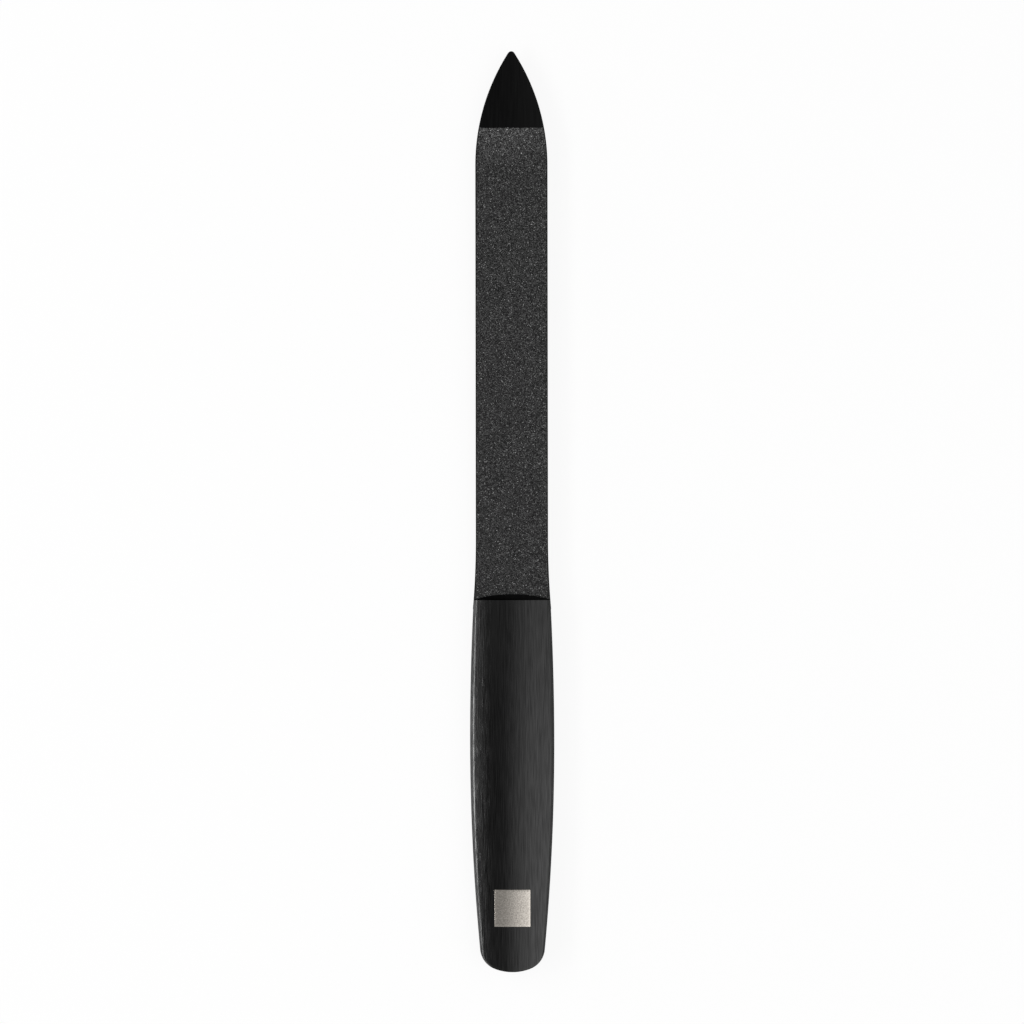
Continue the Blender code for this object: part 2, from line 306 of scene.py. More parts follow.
# %% [markdown]
# ## The room
#
# Round the panels the room is an even grey. Every surface mirrors it where no panel stands, so it
# sets how dark the darkest parts of the metal are, and it fills the file's shadow on the card.

# %% World
world = bpy.data.worlds.new("dim_studio")
world.use_nodes = True
tree = world.node_tree
set_inputs(tree, tree.nodes["Background"], {"Color": linear("#747474"), "Strength": 1.0})
bpy.context.scene.world = world
print(f"room: {world.name}")

# %% [markdown]
# ## Brushed black steel
#
# The handle is stainless steel, brushed lengthwise and then blackened in a thin hard film. The
# film follows every brush line, so it stays a metal to the eye: no haze of its own, dark grey
# mirrors, and highlights that spread across the lines and not along them. A picture of scratches
# would do, but noise stretched along Y gives the same lines at any distance and on every side.
#
# Real brush lines are a few hundredths of a millimetre wide, too fine for this picture, so the
# lines here are as coarse as the photograph shows: fine ones 0.09 mm wide and 4 mm long, and broad
# ones 0.45 mm wide and 45 mm long, so that the brushing runs straight. The fine ones are a relief
# as well. A belt bites along the flanks and only skims the crown, so the relief grows four times as
# deep between 2 and 5 mm from the middle line, and glints beside the crease as in the photograph.
#
# Plain metal turns into a bright mirror at a low angle. The black film drinks that light, so the
# tint of the metal's edge is a grey that gives back half of it, and the handle stays black from
# every side.

# %% Brush lines
METAL_EDGE_TINT = linear("#bcbcbc")


def brush_lines(tree, width, length, detail):
    """Noise drawn out along the file: width across it and length along it, in metres."""
    where = add_node(tree, "ShaderNodeTexCoord")
    scaled = add_node(
        tree, "ShaderNodeMapping", {},
        {"Vector": where.outputs["Object"], "Scale": (1 / width, 1 / length, 1 / width)},
    )
    noise = add_node(
        tree, "ShaderNodeTexNoise", {},
        {"Vector": scaled.outputs["Vector"], "Scale": 1.0, "Detail": detail, "Roughness": 0.55},
    )
    return noise.outputs["Fac"]


print(f"at a low angle the black steels give back {METAL_EDGE_TINT[0]:.2f} of the light")

# %% Tone of the brushed black steel
BROAD_LINE_WIDTH = 0.45 * MM
BROAD_LINE_LENGTH = 45 * MM
FINE_LINE_WIDTH = 0.09 * MM
FINE_LINE_LENGTH = 4 * MM
FINE_LINE_SHARE = 0.8

brushed_black, tree, shader = new_material("brushed_black_steel")
broad = brush_lines(tree, BROAD_LINE_WIDTH, BROAD_LINE_LENGTH, detail=2.0)
fine = brush_lines(tree, FINE_LINE_WIDTH, FINE_LINE_LENGTH, detail=1.0)
lines = add_node(
    tree, "ShaderNodeMix", {"data_type": "FLOAT"},
    {"Factor": FINE_LINE_SHARE, "A": broad, "B": fine},
)
tone = add_node(
    tree, "ShaderNodeMapRange", {},
    {"Value": lines.outputs["Result"], "From Min": 0.36, "From Max": 0.64},
)
colour = add_node(
    tree, "ShaderNodeMix", {"data_type": "RGBA"},
    {"Factor": tone.outputs["Result"], "A": linear("#303030"), "B": linear("#424242")},
)
set_inputs(tree, shader, {
    "Metallic": 1.0, "Specular Tint": METAL_EDGE_TINT, "Base Color": colour.outputs["Result"],
})

# %% Sheen and relief of the brushed black steel
FINE_LINE_DEPTH = 0.019 * MM
CROWN_BITE = 0.25
CROWN_HALF_WIDTH = 2 * MM
FLANK_START = 5 * MM

sheen_spread = add_node(
    tree, "ShaderNodeMapRange", {},
    {"Value": fine, "From Min": 0.3, "From Max": 0.7, "To Min": 0.12, "To Max": 0.17},
)
where = add_node(tree, "ShaderNodeTexCoord")
place_on_handle = add_node(tree, "ShaderNodeSeparateXYZ", {}, {0: where.outputs["Object"]})
off_middle = add_node(
    tree, "ShaderNodeMath", {"operation": "ABSOLUTE"}, {0: place_on_handle.outputs["X"]}
)
bite = add_node(
    tree, "ShaderNodeMapRange", {"interpolation_type": "SMOOTHSTEP"},
    {"Value": off_middle.outputs[0], "From Min": CROWN_HALF_WIDTH, "From Max": FLANK_START,
     "To Min": CROWN_BITE},
)
relief = add_node(
    tree, "ShaderNodeBump", {},
    {"Strength": bite.outputs["Result"], "Distance": FINE_LINE_DEPTH, "Height": fine},
)
across_lines = add_node(tree, "ShaderNodeTangent", {"direction_type": "RADIAL", "axis": "Y"})
set_inputs(tree, shader, {
    "Roughness": sheen_spread.outputs["Result"], "Normal": relief.outputs["Normal"],
    "Anisotropic": 0.55, "Tangent": across_lines.outputs["Tangent"],
})
crown_depth = CROWN_BITE * FINE_LINE_DEPTH
print(f"relief {crown_depth / MM:.3f} mm on the crown, {FINE_LINE_DEPTH / MM:.3f} mm on the flanks")

# %% [markdown]
# ## Black blade steel
#
# The blade is hardened steel with a near-black oxide finish, brushed more shallowly than the
# handle and a shade more matt. It shows only at the bare point, along both edges and in the
# crescent in front of the handle. The crescent is the darkest of these, as it lies in the shade
# of the handle's front lip. That shade is painted: the steel's colour is darkened over 0.9 mm in
# front of the handle, and has its full tone again at 1.4 mm.

# %% Black blade steel
BLADE_LINE_WIDTH = 0.3 * MM
BLADE_LINE_LENGTH = 6 * MM
BLADE_LINE_DEPTH = 0.002 * MM
CRESCENT_SHADE = 0.46
CRESCENT_LENGTH = 0.9 * MM
SHADE_FADES_OUT_AT = 1.4 * MM

blade_steel, tree, shader = new_material("black_oxide_blade_steel")
lines = brush_lines(tree, BLADE_LINE_WIDTH, BLADE_LINE_LENGTH, detail=3.0)
colour = add_node(
    tree, "ShaderNodeMix", {"data_type": "RGBA"},
    {"Factor": lines, "A": linear("#171717"), "B": linear("#232323")},
)
sheen_spread = add_node(
    tree, "ShaderNodeMapRange", {},
    {"Value": lines, "From Min": 0.3, "From Max": 0.7, "To Min": 0.20, "To Max": 0.28},
)
relief = add_node(
    tree, "ShaderNodeBump", {}, {"Strength": 1.0, "Distance": BLADE_LINE_DEPTH, "Height": lines}
)
across_lines = add_node(tree, "ShaderNodeTangent", {"direction_type": "RADIAL", "axis": "Y"})
where = add_node(tree, "ShaderNodeTexCoord")
place_on_blade = add_node(tree, "ShaderNodeSeparateXYZ", {}, {0: where.outputs["Object"]})
handle_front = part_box("front_handle_half")[1].y
# painted shade: the blade's colour is darkened in front of the handle's lip, where shade falls
painted_shade = add_node(
    tree, "ShaderNodeMapRange", {},
    {"Value": place_on_blade.outputs["Y"], "From Min": handle_front + CRESCENT_LENGTH,
     "From Max": handle_front + SHADE_FADES_OUT_AT, "To Min": CRESCENT_SHADE},
)
colour_with_painted_shade_and_light = add_node(
    tree, "ShaderNodeVectorMath", {"operation": "SCALE"},
    {0: colour.outputs["Result"], "Scale": painted_shade.outputs["Result"]},
)
set_inputs(tree, shader, {
    "Metallic": 1.0, "Specular Tint": METAL_EDGE_TINT, "Base Color": colour_with_painted_shade_and_light.outputs["Vector"],
    "Roughness": sheen_spread.outputs["Result"], "Normal": relief.outputs["Normal"],
    "Anisotropic": 0.4, "Tangent": across_lines.outputs["Tangent"],
})

# %% [markdown]
# ## Sapphire grit
#
# The coat is crushed sapphire held in a black binder. Each grain has its own tone, and a few face
# the lamps and glint. Noise would blur one grain into the next, so each is a cell of a Voronoi
# pattern, 0.11 mm across, with a random tone between the dark binder and a light grain. Over its
# last millimetres beside the point the coat is painted paler, as painted light where more light
# falls on it. Sapphire bends light far more than plastic does, so its IOR is 1.77, but the binder
# over the grains keeps most of its gloss down.

# %% Sapphire grit
GRAIN_SIZE = 0.11 * MM
LIT_END_LENGTH = 8 * MM
PAINTED_LIGHT_GAIN = 1.75

sapphire_grit, tree, shader = new_material("sapphire_grit_in_black_binder")
where = add_node(tree, "ShaderNodeTexCoord")
grains = add_node(
    tree, "ShaderNodeTexVoronoi", {"feature": "F1"},
    {"Vector": where.outputs["Object"], "Scale": 1 / GRAIN_SIZE, "Randomness": 1.0},
)
grain_random = add_node(tree, "ShaderNodeSeparateColor", {}, {0: grains.outputs["Color"]})
tones = add_node(tree, "ShaderNodeValToRGB", {}, {"Fac": grain_random.outputs["Red"]}, [
    (0.00, linear("#030303")),
    (0.35, linear("#161616")),
    (0.70, linear("#383838")),
    (0.93, linear("#545454")),
    (0.98, linear("#6a6a6a")),
    (1.00, linear("#a8a8a8")),
])
place_on_coat = add_node(tree, "ShaderNodeSeparateXYZ", {}, {0: where.outputs["Object"]})
coat_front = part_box("front_grit_coat")[1].y
# painted light: the coat's colour grows paler over its last millimetres beside the point
painted_light_near_point = add_node(
    tree, "ShaderNodeMapRange", {"interpolation_type": "SMOOTHSTEP"},
    {"Value": place_on_coat.outputs["Y"], "From Min": coat_front - LIT_END_LENGTH,
     "From Max": coat_front, "To Min": 1.0, "To Max": PAINTED_LIGHT_GAIN},
)
colour_with_painted_shade_and_light = add_node(
    tree, "ShaderNodeVectorMath", {"operation": "SCALE"},
    {0: tones.outputs["Color"], "Scale": painted_light_near_point.outputs["Result"]},
)
grain_gloss = add_node(
    tree, "ShaderNodeMapRange", {},
    {"Value": grain_random.outputs["Green"], "To Min": 0.3, "To Max": 0.7},
)
set_inputs(tree, shader, {
    "IOR": 1.77, "Specular IOR Level": 0.1,
    "Base Color": colour_with_painted_shade_and_light.outputs["Vector"], "Roughness": grain_gloss.outputs["Result"],
})

# %% [markdown]
# ## Satin plate steel and ground pin steel
#
# The square plate near the butt is plain stainless steel, blasted to a satin. It is a shade warm,
# and rough enough that the studio is a soft slope of light on it. Blasting leaves tiny dents, so
# one fine noise drives both the tone and the relief, and the two agree. The pins inside the handle
# are centreless-ground bright steel with fine rings around them: the same idea as the brush lines,
# but the noise is pressed flat along the pin.

# %% Satin plate steel
BLAST_SIZE = 0.25 * MM
BLAST_DEPTH = 0.012 * MM

satin_steel, tree, shader = new_material("blasted_satin_steel")
where = add_node(tree, "ShaderNodeTexCoord")
blasting = add_node(
    tree, "ShaderNodeTexNoise", {},
    {"Vector": where.outputs["Object"], "Scale": 1 / BLAST_SIZE, "Detail": 3.0},
)
colour = add_node(
    tree, "ShaderNodeMix", {"data_type": "RGBA"},
    {"Factor": blasting.outputs["Fac"], "A": linear("#8e8880"), "B": linear("#ece5dc")},
)
relief = add_node(
    tree, "ShaderNodeBump", {},
    {"Strength": 1.0, "Distance": BLAST_DEPTH, "Height": blasting.outputs["Fac"]},
)
set_inputs(tree, shader, {
    "Metallic": 1.0, "Roughness": 0.24,
    "Base Color": colour.outputs["Result"], "Normal": relief.outputs["Normal"],
})

# %% Ground pin steel
RING_SPACING = 0.03 * MM
RING_WAVER = 1 * MM

pin_steel, tree, shader = new_material("ground_pin_steel")
where = add_node(tree, "ShaderNodeTexCoord")
scaled = add_node(
    tree, "ShaderNodeMapping", {},
    {"Vector": where.outputs["Object"],
     "Scale": (1 / RING_WAVER, 1 / RING_WAVER, 1 / RING_SPACING)},
)
grinding = add_node(
    tree, "ShaderNodeTexNoise", {},
    {"Vector": scaled.outputs["Vector"], "Scale": 1.0, "Detail": 2.0},
)
colour = add_node(
    tree, "ShaderNodeMix", {"data_type": "RGBA"},
    {"Factor": grinding.outputs["Fac"], "A": linear("#b0b0b2"), "B": linear("#c6c6c8")},
)
gloss = add_node(
    tree, "ShaderNodeMapRange", {},
    {"Value": grinding.outputs["Fac"], "To Min": 0.2, "To Max": 0.4},
)
set_inputs(tree, shader, {
    "Metallic": 1.0,
    "Base Color": colour.outputs["Result"], "Roughness": gloss.outputs["Result"],
})

# %% [markdown]
# ## Shapes that the pieces share
#
# All pieces are drawn in the file's own axes: a station is a distance from the butt along Y, and
# heights are measured from the blade's middle plane. The lengths are those of the CAD part, so a
# finer piece lies exactly where its solid is. One function moves a finished shape into the frame,
# and another gives it its finish and makes it ride on the part.

# %% Arcs and outlines
def arc(centre, radius, start, end, steps):
    """Points on a circular arc from angle start to angle end, both included."""
    return [
        Vector((centre.x + radius * math.cos(a), centre.y + radius * math.sin(a)))
        for a in np.linspace(start, end, steps + 1)
    ]


def angle_from(centre, point):
    """The direction of a point seen from a centre."""
    return math.atan2(point.y - centre.y, point.x - centre.x)


def bow_radius(run, fall):
    """The radius of an arc that leaves a line parallel to Y and falls off it by fall over run."""
    return (run**2 + fall**2) / (2 * fall)


def mirrored(right_side):
    """A closed outline, from its right side listed from the rear to the front. A point on the
    middle line is kept once."""
    return right_side + [Vector((-p.x, p.y)) for p in reversed(right_side) if p.x > 0]


print(f"stations run from 0 at the butt to {FILE_LENGTH / MM:.0f} mm at the point")

# %% Prisms, placing and cutting
def prism(outline, bottom, top):
    """A shape with this plan outline, extruded from one height to another."""
    shape = bmesh.new()
    base = shape.faces.new([shape.verts.new((p.x, p.y, bottom)) for p in outline])
    grown = bmesh.ops.extrude_face_region(shape, geom=[base])
    lifted = [v for v in grown["geom"] if isinstance(v, bmesh.types.BMVert)]
    bmesh.ops.translate(shape, verts=lifted, vec=(0, 0, top - bottom))
    bmesh.ops.recalc_face_normals(shape, faces=shape.faces)
    return shape


def place(name, shape):
    """Turns a shape in the file's own axes into an object in the frame."""
    bmesh.ops.translate(shape, verts=shape.verts, vec=(0, BUTT_Y, MIDDLE_Z))
    mesh = bpy.data.meshes.new(name)
    shape.to_mesh(mesh)
    shape.free()
    made = bpy.data.objects.new(name, mesh)
    bpy.context.scene.collection.objects.link(made)
    return made


def cut(target, shapes):
    """Takes shapes out of an object for good."""
    cutters = [place(f"cutter_{i}", shape) for i, shape in enumerate(shapes)]
    for cutter in cutters:
        boolean = target.modifiers.new("cut", "BOOLEAN")
        boolean.operation = "DIFFERENCE"
        boolean.solver = "EXACT"
        boolean.object = cutter
    evaluated = target.evaluated_get(bpy.context.evaluated_depsgraph_get())
    target.data = bpy.data.meshes.new_from_object(evaluated)
    target.modifiers.clear()
    for cutter in cutters:
        bpy.data.objects.remove(cutter)


# %% Finish of a piece
def finish_piece(made, material, replaced, sharp_angle=None):
    """Shades a piece, gives it its finish and lets it ride on the part for its CAD node."""
    made.data.materials.clear()
    made.data.materials.append(material)
    if sharp_angle is not None:
        made.data.shade_smooth()
        made.data.set_sharp_from_angle(angle=math.radians(sharp_angle))
    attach(made, "root")
    if replaced:
        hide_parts(replaced)
    print(f"{made.name}: {len(made.data.polygons)} faces")


# %% [markdown]
# ## The blade
#
# The blade is punched from strip: parallel flanks that flare to the handle's width, an ogive that
# runs up to the point, and inside the handle a narrower tang with two pin holes. The outline is
# extruded and its rims are rounded. Beyond the grit the blank is ground thinner, so the point can
# clean under a nail: the face is split at that line and the heights in front of it scaled down.

# %% Sizes of the blade
HANDLE_LENGTH = 64.6 * MM
HANDLE_FRONT_WIDTH = 13.36 * MM
BLADE_WIDTH = 12.56 * MM
BLADE_THICKNESS = 1.2 * MM
BLADE_HALF = BLADE_THICKNESS / 2
FLARE_LENGTH = 10.6 * MM
OGIVE_RADIUS = 36.25 * MM
POINT_RADIUS = 0.65 * MM
POINT_THICKNESS = 0.6 * MM
BARE_POINT_LENGTH = 13.3 * MM
BARE_POINT_STATION = FILE_LENGTH - BARE_POINT_LENGTH
MOUTH_DEPTH = 1.6 * MM
SHOULDER_STATION = HANDLE_LENGTH - MOUTH_DEPTH
TANG_WIDTH = 7.6 * MM
TANG_LENGTH = 46 * MM
TANG_END = HANDLE_LENGTH - TANG_LENGTH
TANG_CORNER_RADIUS = 1.6 * MM
PIN_DIAMETER = 2.4 * MM
FRONT_PIN_STATION = HANDLE_LENGTH - 13 * MM
REAR_PIN_STATION = TANG_END + 9 * MM
CLEARANCE = 0.04 * MM
print(f"shoulder at {SHOULDER_STATION / MM:.1f} mm, end of the tang at {TANG_END / MM:.1f} mm")

# %% Flare
FLARE_STEPS = 24


def flare_half_width(station):
    """The blade's half-width where it widens to be flush with the front of the handle."""
    radius = bow_radius(FLARE_LENGTH, (HANDLE_FRONT_WIDTH - BLADE_WIDTH) / 2)
    run = HANDLE_LENGTH + FLARE_LENGTH - station
    return BLADE_WIDTH / 2 + radius - np.sqrt(radius**2 - run**2)


def flare_points(rear):
    """Points up the right side of the flare, from this station to its end."""
    stations = np.linspace(rear, HANDLE_LENGTH + FLARE_LENGTH, FLARE_STEPS + 1)
    return [Vector((flare_half_width(s), s)) for s in stations]


flared_width = 2 * flare_half_width(HANDLE_LENGTH)
print(f"blade {BLADE_WIDTH / MM:.2f} mm wide, {flared_width / MM:.2f} mm at the handle")

# %% Ogive and point
OGIVE_STEPS = 60
POINT_STEPS = 12

ogive_reach = (OGIVE_RADIUS - POINT_RADIUS) ** 2 - (OGIVE_RADIUS - BLADE_WIDTH / 2) ** 2
OGIVE_STATION = FILE_LENGTH - POINT_RADIUS - math.sqrt(ogive_reach)


def ogive_points():
    """Points up the right side from the start of the ogive to the tip."""
    centre = Vector((BLADE_WIDTH / 2 - OGIVE_RADIUS, OGIVE_STATION))
    point_centre = Vector((0, FILE_LENGTH - POINT_RADIUS))
    end = angle_from(centre, point_centre)
    side = arc(centre, OGIVE_RADIUS, 0, end, OGIVE_STEPS)
    tip = arc(point_centre, POINT_RADIUS, end, math.pi / 2, POINT_STEPS)[1:]
    tip[-1].x = 0
    return side + tip


print(f"ogive from {OGIVE_STATION / MM:.1f} mm, bare point from {BARE_POINT_STATION / MM:.1f} mm")

# %% Outline of the blade
CORNER_STEPS = 12


def tang_points(clearance):
    """Points up the right side of the tang to the shoulder, grown by a clearance."""
    half = TANG_WIDTH / 2 + clearance
    radius = TANG_CORNER_RADIUS + clearance
    corner = Vector((half - radius, TANG_END - clearance + radius))
    rounding = arc(corner, radius, -math.pi / 2, 0, CORNER_STEPS)
    return rounding + [Vector((half, SHOULDER_STATION - clearance))]


outline = mirrored(tang_points(0) + flare_points(SHOULDER_STATION) + ogive_points())
print(f"{len(outline)} points round the blank")

# %% Blank with rounded rims and pin holes
BLADE_ROUNDING = 0.14 * MM
BLADE_ROUNDING_STEPS = 4
PIN_SIDES = 48


def pin_bores(half_depth):
    """Cutters for the two pins' holes, through everything within half_depth of the middle."""
    bores = []
    radius = PIN_DIAMETER / 2 + CLEARANCE
    for station in (FRONT_PIN_STATION, REAR_PIN_STATION):
        bore = bmesh.new()
        bmesh.ops.create_cone(
            bore, cap_ends=True, segments=PIN_SIDES,
            radius1=radius, radius2=radius, depth=2 * half_depth,
        )
        bmesh.ops.translate(bore, verts=bore.verts, vec=(0, station, 0))
        bores.append(bore)
    return bores


blank = prism(outline, -BLADE_HALF, BLADE_HALF)
rims = [e for e in blank.edges if abs(e.verts[0].co.z - e.verts[1].co.z) < BLADE_ROUNDING]
bmesh.ops.bevel(
    blank, geom=rims, offset=BLADE_ROUNDING, segments=BLADE_ROUNDING_STEPS,
    affect="EDGES", profile=0.5,
)
everything = blank.verts[:] + blank.edges[:] + blank.faces[:]
bmesh.ops.bisect_plane(
    blank, geom=everything, plane_co=(0, BARE_POINT_STATION, 0), plane_no=(0, 1, 0)
)
thinning = 1 - POINT_THICKNESS / BLADE_THICKNESS
for v in blank.verts:
    v.co.z *= 1 - thinning * max(0, v.co.y - BARE_POINT_STATION) / BARE_POINT_LENGTH
blade = place("blade", blank)
cut(blade, pin_bores(BLADE_THICKNESS))
finish_piece(blade, blade_steel, "file_blade", sharp_angle=35)

# %% [markdown]
# ## The grit coats
#
# Each coat is a field of grains, straight across at the point and bowed at the handle. Bump alone
# would look smooth at its edges, so the grains are real: the field is a fine grid, each point
# belongs to its nearest grain, and each grain has its own height and its own tilt. The tilts are
# what sparkle. These grains lie 0.17 mm apart, because a grid any finer would be a heavy mesh. The
# rim of the field is nibbled at random, as no grain is cut in two.

# %% Width of the coated field
COAT_INSET = 0.17 * MM


def coat_half_width(station):
    """Half the width of the coated field at each station."""
    ogive_run = np.maximum(station - OGIVE_STATION, 0)
    ogive = BLADE_WIDTH / 2 - OGIVE_RADIUS + np.sqrt(OGIVE_RADIUS**2 - ogive_run**2)
    flared = flare_half_width(np.minimum(station, HANDLE_LENGTH + FLARE_LENGTH))
    return np.where(station > HANDLE_LENGTH + FLARE_LENGTH, ogive, flared) - COAT_INSET


for station in (HANDLE_LENGTH, OGIVE_STATION, BARE_POINT_STATION):
    field_width = 2 * float(coat_half_width(np.array(station)))
    print(f"coated field {field_width / MM:.2f} mm wide at station {station / MM:.1f} mm")

# %% Height of the grains
COAT_THICKNESS = 0.14 * MM
GRAIN_SPACING = 0.17 * MM
GRAIN_LEVELS = (0.15, 0.85)
GRAIN_TILT = 0.3
LOWEST_GRAIN = 0.05


def grain_heights(x, y, random):
    """The height of the grit at each point, from 0 to 1, where each grain is one tilted facet. The
    grains lie in a grid of cells, one in each, two cells wider than the points on every side."""
    lowest_x, lowest_y = x.min() - 2 * GRAIN_SPACING, y.min() - 2 * GRAIN_SPACING
    columns = int((x.max() - lowest_x) / GRAIN_SPACING) + 3
    rows = int((y.max() - lowest_y) / GRAIN_SPACING) + 3
    jitter = random.uniform(0, 1, (2, columns, rows))
    centre_x = lowest_x + (np.arange(columns)[:, None] + jitter[0]) * GRAIN_SPACING
    centre_y = lowest_y + (np.arange(rows)[None, :] + jitter[1]) * GRAIN_SPACING
    level = random.uniform(*GRAIN_LEVELS, (columns, rows))
    tilt = random.normal(0, GRAIN_TILT, (2, columns, rows))
    column = ((x - lowest_x) / GRAIN_SPACING).astype(int)
    row = ((y - lowest_y) / GRAIN_SPACING).astype(int)
    nearest = np.full(x.shape, np.inf)
    height = np.zeros(x.shape)
    for step_x in (-1, 0, 1):
        for step_y in (-1, 0, 1):
            i, j = column + step_x, row + step_y
            off_x, off_y = x - centre_x[i, j], y - centre_y[i, j]
            distance = off_x**2 + off_y**2
            facet = level[i, j] + (tilt[0][i, j] * off_x + tilt[1][i, j] * off_y) / COAT_THICKNESS
            height = np.where(distance < nearest, facet, height)
            nearest = np.minimum(distance, nearest)
    return np.clip(height, LOWEST_GRAIN, 1)


print(f"grains {GRAIN_SPACING / MM:.2f} mm apart in a coat {COAT_THICKNESS / MM:.2f} mm thick")

# %% Field of grains
COAT_GAP_MIDDLE = 0.98 * MM
COAT_GAP_SIDE = 0.12 * MM
COAT_LIFT = 0.004 * MM
COAT_COLUMNS = 118
COAT_ROWS = 800
RIM_NIBBLE = 0.10 * MM


def make_coat(name, replaced, side, seed):
    """A field of grains on the front face for side 1, on the back for side -1."""
    random = np.random.default_rng(seed)
    corner_station = HANDLE_LENGTH + COAT_GAP_SIDE
    corner_x = float(coat_half_width(np.array(corner_station)))
    bow = COAT_GAP_MIDDLE - COAT_GAP_SIDE
    end_radius = bow_radius(corner_x, bow)
    across = np.linspace(-1, 1, COAT_COLUMNS + 1)[:, None]
    up = np.linspace(0, 1, COAT_ROWS + 1)[None, :]
    rear = corner_station + bow - end_radius + np.sqrt(end_radius**2 - (across * corner_x) ** 2)
    rear = rear + random.uniform(0, RIM_NIBBLE, rear.shape)
    front = BARE_POINT_STATION - random.uniform(0, RIM_NIBBLE, rear.shape)
    y = rear + up * (front - rear)
    nibbled = 1 - random.uniform(0, RIM_NIBBLE / 2, (2, COAT_ROWS + 1)) / (BLADE_WIDTH / 2)
    edge = np.where(across < 0, nibbled[0], nibbled[1])
    x = across * coat_half_width(y) * edge
    z = grain_heights(x, y, random) * COAT_THICKNESS + 2 * COAT_LIFT
    z = np.minimum(z, COAT_THICKNESS)

    count = x.size
    top = np.stack([x, y + BUTT_Y, MIDDLE_Z + side * (BLADE_HALF + z)], axis=-1).reshape(-1, 3)
    index = np.arange(count).reshape(x.shape)
    quads = np.stack([index[:-1, :-1], index[1:, :-1], index[1:, 1:], index[:-1, 1:]], axis=-1)
    rim = np.concatenate([index[:, 0], index[-1, 1:], index[-2::-1, -1], index[0, -2:0:-1]])
    foot = top[rim].copy()
    foot[:, 2] = MIDDLE_Z + side * (BLADE_HALF + COAT_LIFT)
    low = count + np.arange(len(rim))
    skirt = np.stack([np.roll(rim, -1), rim, low, np.roll(low, -1)], axis=-1)
    faces = quads.reshape(-1, 4).tolist() + skirt.tolist() + [low[::-1].tolist()]
    if side < 0:
        faces = [face[::-1] for face in faces]
    mesh = bpy.data.meshes.new(name)
    mesh.from_pydata(np.concatenate([top, foot]).tolist(), [], faces)
    made = bpy.data.objects.new(name, mesh)
    bpy.context.scene.collection.objects.link(made)
    finish_piece(made, sapphire_grit, replaced)


print(f"each field is a grid of {COAT_COLUMNS} by {COAT_ROWS} squares")

# %% Front and back coats
make_coat("front_sapphire_coat", "front_grit_coat", 1, seed=11)
make_coat("back_sapphire_coat", "back_grit_coat", -1, seed=23)

# %% [markdown]
# ## The handle halves
#
# Each half is a shallow dome with a narrow facet down each flank that widens over the belly. In
# the photograph a fine bright line runs down the crease between the two, and an edge with no width
# could not catch that light. So the crease is broken by a second facet, 0.2 mm wide and 28 degrees
# steep, and both its edges are blended by a smooth minimum. Over the belly the steep facet is drawn
# 0.17 mm narrower than on the solid, which is how the photograph shows it.
#
# A subdivision surface would melt such narrow facets, so the half is lofted from many
# cross-sections. Every outer edge is rounded by how far a point lies from the outline: hardly at
# all on the flanks, which are crisp, and more around the butt. Each of these roundings is a pair,
# how far it reaches in from the outline and how deep it drops there. Last, the slit, the tang's
# pocket and the pins' bores are cut.

# %% Flank and crease
HANDLE_WIDTH = 14.64 * MM
HANDLE_BUTT_WIDTH = 10.46 * MM
BELLY_STATION = 40.1 * MM
BELLY_FACET_WIDTH = 0.56 * MM
FRONT_FACET_WIDTH = 0.50 * MM
BUTT_FACET_WIDTH = 0.40 * MM


def bowed_half_width(station, belly, front, butt):
    """The half-width of a line that is widest at the belly and bows in to both ends."""
    forward = station > BELLY_STATION
    run = np.where(forward, HANDLE_LENGTH - BELLY_STATION, BELLY_STATION)
    radius = bow_radius(run, belly - np.where(forward, front, butt))
    return belly - radius + np.sqrt(radius**2 - (station - BELLY_STATION) ** 2)


def flank_half_width(station):
    """The handle's half-width beside its long flanks."""
    return bowed_half_width(
        station, HANDLE_WIDTH / 2, HANDLE_FRONT_WIDTH / 2, HANDLE_BUTT_WIDTH / 2
    )


def crease_half_width(station):
    """Where the dome ends in the facet."""
    return bowed_half_width(
        station,
        HANDLE_WIDTH / 2 - BELLY_FACET_WIDTH,
        HANDLE_FRONT_WIDTH / 2 - FRONT_FACET_WIDTH,
        HANDLE_BUTT_WIDTH / 2 - BUTT_FACET_WIDTH,
    )


belly_crease = crease_half_width(BELLY_STATION)
print(f"creases {2 * belly_crease / MM:.2f} mm apart on a belly {HANDLE_WIDTH / MM:.2f} mm wide")

# %% Corner of the butt
BUTT_RADIUS = 8.7 * MM
BUTT_CORNER_RADIUS = 3.9 * MM


def butt_corner():
    """The centres of the arcs at the butt's corner, at the butt's middle and of the flank."""
    flank_radius = bow_radius(BELLY_STATION, (HANDLE_WIDTH - HANDLE_BUTT_WIDTH) / 2)
    flank_centre = Vector((HANDLE_WIDTH / 2 - flank_radius, BELLY_STATION))
    butt_centre = Vector((0, BUTT_RADIUS))
    from_butt = BUTT_RADIUS - BUTT_CORNER_RADIUS
    from_flank = flank_radius - BUTT_CORNER_RADIUS
    between = flank_centre - butt_centre
    along = (from_butt**2 - from_flank**2 + between.length_squared) / (2 * between.length)
    aside = math.sqrt(from_butt**2 - along**2)
    direction = between.normalized()
    square = Vector((-direction.y, direction.x))
    choices = [butt_centre + direction * along + square * way * aside for way in (1, -1)]
    return min(choices, key=lambda c: c.y), butt_centre, flank_centre


corner_centre, butt_centre, flank_centre = butt_corner()
to_corner = angle_from(butt_centre, corner_centre)
to_flank = angle_from(flank_centre, corner_centre)
print(f"the butt's corner turns through {math.degrees(to_flank - to_corner):.0f} degrees")

# %% Outline of the handle
BUTT_STEPS = 24
FIRST_BUTT_STEP = 3
LIP_ROUNDING = 0.12 * MM
LIP_STEPS = 6
FLANK_STEP = 0.75 * MM
PLATE_SIZE = (6.22 * MM, 6.42 * MM)
PLATE_STATION = 11.10 * MM
RECESS_MARGIN = 0.02 * MM
RECESS_HALF = PLATE_SIZE[0] / 2 + RECESS_MARGIN
RECESS_REAR = PLATE_STATION - PLATE_SIZE[1] / 2 - RECESS_MARGIN
RECESS_FRONT = PLATE_STATION + PLATE_SIZE[1] / 2 + RECESS_MARGIN


